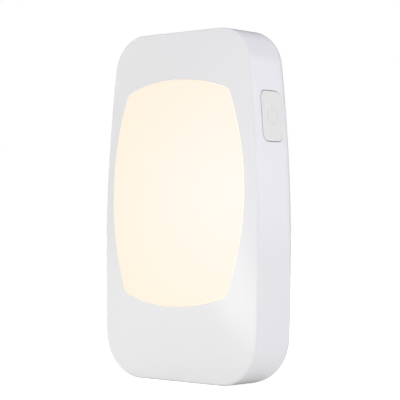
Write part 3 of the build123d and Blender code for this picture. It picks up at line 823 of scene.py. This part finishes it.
class NIGHT_LIGHT_OT_plug(bpy.types.Operator):
    """Finish the plug well and its roller, and replace the blades by ones with rounded edges"""

    bl_idname = "night_light.plug"
    bl_label = "Folding plug"

    def execute(self, context):
        colours = context.scene.night_light_colours
        sizes = context.scene.night_light_sizes
        pbt = satin_white_pbt(colours)
        bronze = phosphor_bronze()
        nickel = nickel_plated_brass()
        dress({"plug_well": pbt, "pivot_retainer": pbt, "plug_carrier": pbt})
        for side in ("left", "right"):
            node = f"plug_blade_{side}"
            low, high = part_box(node)
            seat = Matrix.Translation(((low.x + high.x) / 2, PIVOT.y, PIVOT.z)) @ upright(Vector((1, 0, 0)))
            mesh = plate(node + "_plated", blade_outlines(sizes), high.x - low.x, sizes.blade_edge, seat)
            piece = link(node + "_plated", mesh, nickel, "plug")
            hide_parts(node)
            dress({f"contact_spring_{side}": bronze})
        return {"FINISHED"}


class NIGHT_LIGHT_OT_electronics(bpy.types.Operator):
    """Finish the circuit board, the parts on it, the cell and the wires"""

    bl_idname = "night_light.electronics"
    bl_label = "Inside"

    def execute(self, context):
        epoxy = black_moulded_epoxy()
        mains_wire = pvc_insulation("white_pvc_insulation", "#E3E3DF")
        dress(
            {
                "light_board": green_solder_resist(),
                "film_capacitor": yellow_pbt_box(),
                "electrolytic_capacitor": sleeved_aluminium_can(),
                "bridge_rectifier": epoxy,
                "control_chip": epoxy,
                "chip_resistors": epoxy,
                "switch_body": epoxy,
                "fusible_resistor": lacquered_ceramic_rod(),
                "battery_cell": blue_shrink_sleeve(),
                "battery_tabs": nickel_strip(),
                "battery_lead_plus": pvc_insulation("red_pvc_insulation", "#A31616"),
                "battery_lead_minus": pvc_insulation("black_pvc_insulation", "#1A1A1A"),
                "mains_lead_left": mains_wire,
                "mains_lead_right": mains_wire,
            }
        )
        return {"FINISHED"}


class NIGHT_LIGHT_OT_stage(bpy.types.Operator):
    """Set up the camera, the white studio and its floor"""

    bl_idname = "night_light.stage"
    bl_label = "Studio"

    def execute(self, context):
        studio = context.scene.night_light_studio
        context.scene.view_settings.view_transform = "Standard"
        self.floor(studio)
        self.dome(studio)
        self.panels()
        self.camera(studio)
        return {"FINISHED"}

    def floor(self, studio):
        """A round floor of white paper under the object."""
        shape = bmesh.new()
        bmesh.ops.create_circle(shape, cap_ends=True, segments=FLOOR_STEPS, radius=studio.floor_radius)
        mesh = bpy.data.meshes.new("floor")
        shape.to_mesh(mesh)
        shape.free()
        mesh.materials.append(seamless_white_paper(studio))
        floor = bpy.data.objects.new("floor", mesh)
        floor.location.z = cad_low.z
        bpy.context.scene.collection.objects.link(floor)

    def dome(self, studio):
        """A cool dome of light, weakest half way up, in front of a white backdrop."""
        side_end, top_start = 0.6, 0.3
        world = bpy.data.worlds.new("white_dome")
        world.use_nodes = True
        tree = world.node_tree
        tree.nodes.clear()
        places = add(tree, "ShaderNodeTexCoord", {})
        parts = add(tree, "ShaderNodeSeparateXYZ", {"Vector": places.outputs["Generated"]})
        height = parts.outputs["Z"]
        low = add(
            tree, "ShaderNodeMapRange",
            {"Value": height, "From Max": side_end, "To Min": studio.dome_side, "To Max": 0.0},
        )
        high = add(
            tree, "ShaderNodeMapRange",
            {"Value": height, "From Min": top_start, "To Max": studio.dome_top},
        )
        sides = add(
            tree, "ShaderNodeBackground", {"Color": studio.dome_side_tone, "Strength": low.outputs[0]}
        )
        top = add(
            tree, "ShaderNodeBackground", {"Color": studio.dome_top_tone, "Strength": high.outputs[0]}
        )
        both = add(tree, "ShaderNodeAddShader", {0: sides.outputs[0], 1: top.outputs[0]})
        backdrop = add(tree, "ShaderNodeBackground", {"Color": linear("#FFFFFF"), "Strength": 1.0})
        ray = add(tree, "ShaderNodeLightPath", {})
        seen = add(
            tree, "ShaderNodeMixShader",
            {0: ray.outputs["Is Camera Ray"], 1: both.outputs[0], 2: backdrop.outputs[0]},
        )
        add(tree, "ShaderNodeOutputWorld", {"Surface": seen.outputs[0]})
        bpy.context.scene.world = world

    def panels(self):
        """Soft panels round the object, each turned to its middle and out of the camera's sight."""
        aim = (cad_low + cad_high) / 2
        for name, place, (width, height), power, code, lights in PANELS:
            data = bpy.data.lights.new(name, "AREA")
            data.shape = "RECTANGLE"
            data.size = width
            data.size_y = height
            data.energy = power
            data.color = linear(code)[:3]
            panel = bpy.data.objects.new(name, data)
            panel.location = place
            panel.rotation_euler = (aim - Vector(place)).to_track_quat("-Z", "Y").to_euler()
            panel.visible_camera = False
            panel.visible_diffuse = lights != "gloss"
            panel.visible_glossy = lights != "body"
            bpy.context.scene.collection.objects.link(panel)

    def camera(self, studio):
        """The camera, at the object's front right, slightly below its middle."""
        yaw, pitch = studio.camera_yaw, studio.camera_pitch
        ahead = Vector((-math.sin(yaw) * math.cos(pitch), math.cos(yaw) * math.cos(pitch), math.sin(pitch)))
        right = Vector((math.cos(yaw), math.sin(yaw), 0))
        axes = Matrix((right, right.cross(ahead), -ahead)).transposed().to_4x4()
        data = bpy.data.cameras.new("camera")
        data.sensor_width = 36
        data.lens = studio.camera_lens / MM
        camera = bpy.data.objects.new("camera", data)
        turn = Matrix.Rotation(studio.camera_roll, 4, "Z")
        camera.matrix_world = Matrix.Translation(studio.camera_place) @ axes @ turn
        bpy.context.scene.collection.objects.link(camera)
        bpy.context.scene.camera = camera


class NIGHT_LIGHT_PT_panel(bpy.types.Panel):
    """Sizes, colours and steps of the night light"""

    bl_label = "Night light"
    bl_idname = "NIGHT_LIGHT_PT_panel"
    bl_space_type = "VIEW_3D"
    bl_region_type = "UI"
    bl_category = "Night light"

    def draw(self, context):
        scene = context.scene
        for group in (scene.night_light_sizes, scene.night_light_colours, scene.night_light_studio):
            box = self.layout.box()
            for name in group.bl_rna.properties.keys():
                if name not in ("rna_type", "name"):
                    box.prop(group, name)
        for step in STEPS:
            self.layout.operator(step.bl_idname)


GROUPS = {
    "night_light_sizes": NightLightSizes,
    "night_light_colours": NightLightColours,
    "night_light_studio": NightLightStudio,
}
STEPS = (
    NIGHT_LIGHT_OT_stage,
    NIGHT_LIGHT_OT_casing,
    NIGHT_LIGHT_OT_lens,
    NIGHT_LIGHT_OT_button,
    NIGHT_LIGHT_OT_screws,
    NIGHT_LIGHT_OT_plug,
    NIGHT_LIGHT_OT_electronics,
)


def register():
    """Make the groups, operators and panel known to Blender."""
    for name, group in GROUPS.items():
        bpy.utils.register_class(group)
        setattr(bpy.types.Scene, name, bpy.props.PointerProperty(type=group))
    for step in STEPS:
        bpy.utils.register_class(step)
    bpy.utils.register_class(NIGHT_LIGHT_PT_panel)


def unregister():
    """Take the panel, operators and groups out of Blender."""
    bpy.utils.unregister_class(NIGHT_LIGHT_PT_panel)
    for step in reversed(STEPS):
        bpy.utils.unregister_class(step)
    for name, group in GROUPS.items():
        delattr(bpy.types.Scene, name)
        bpy.utils.unregister_class(group)


def main():
    """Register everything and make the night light's looks step by step."""
    register()
    bpy.ops.night_light.stage()
    bpy.ops.night_light.casing()
    bpy.ops.night_light.lens()
    bpy.ops.night_light.button()
    bpy.ops.night_light.screws()
    bpy.ops.night_light.plug()
    bpy.ops.night_light.electronics()


if __name__ == "__main__":
    main()
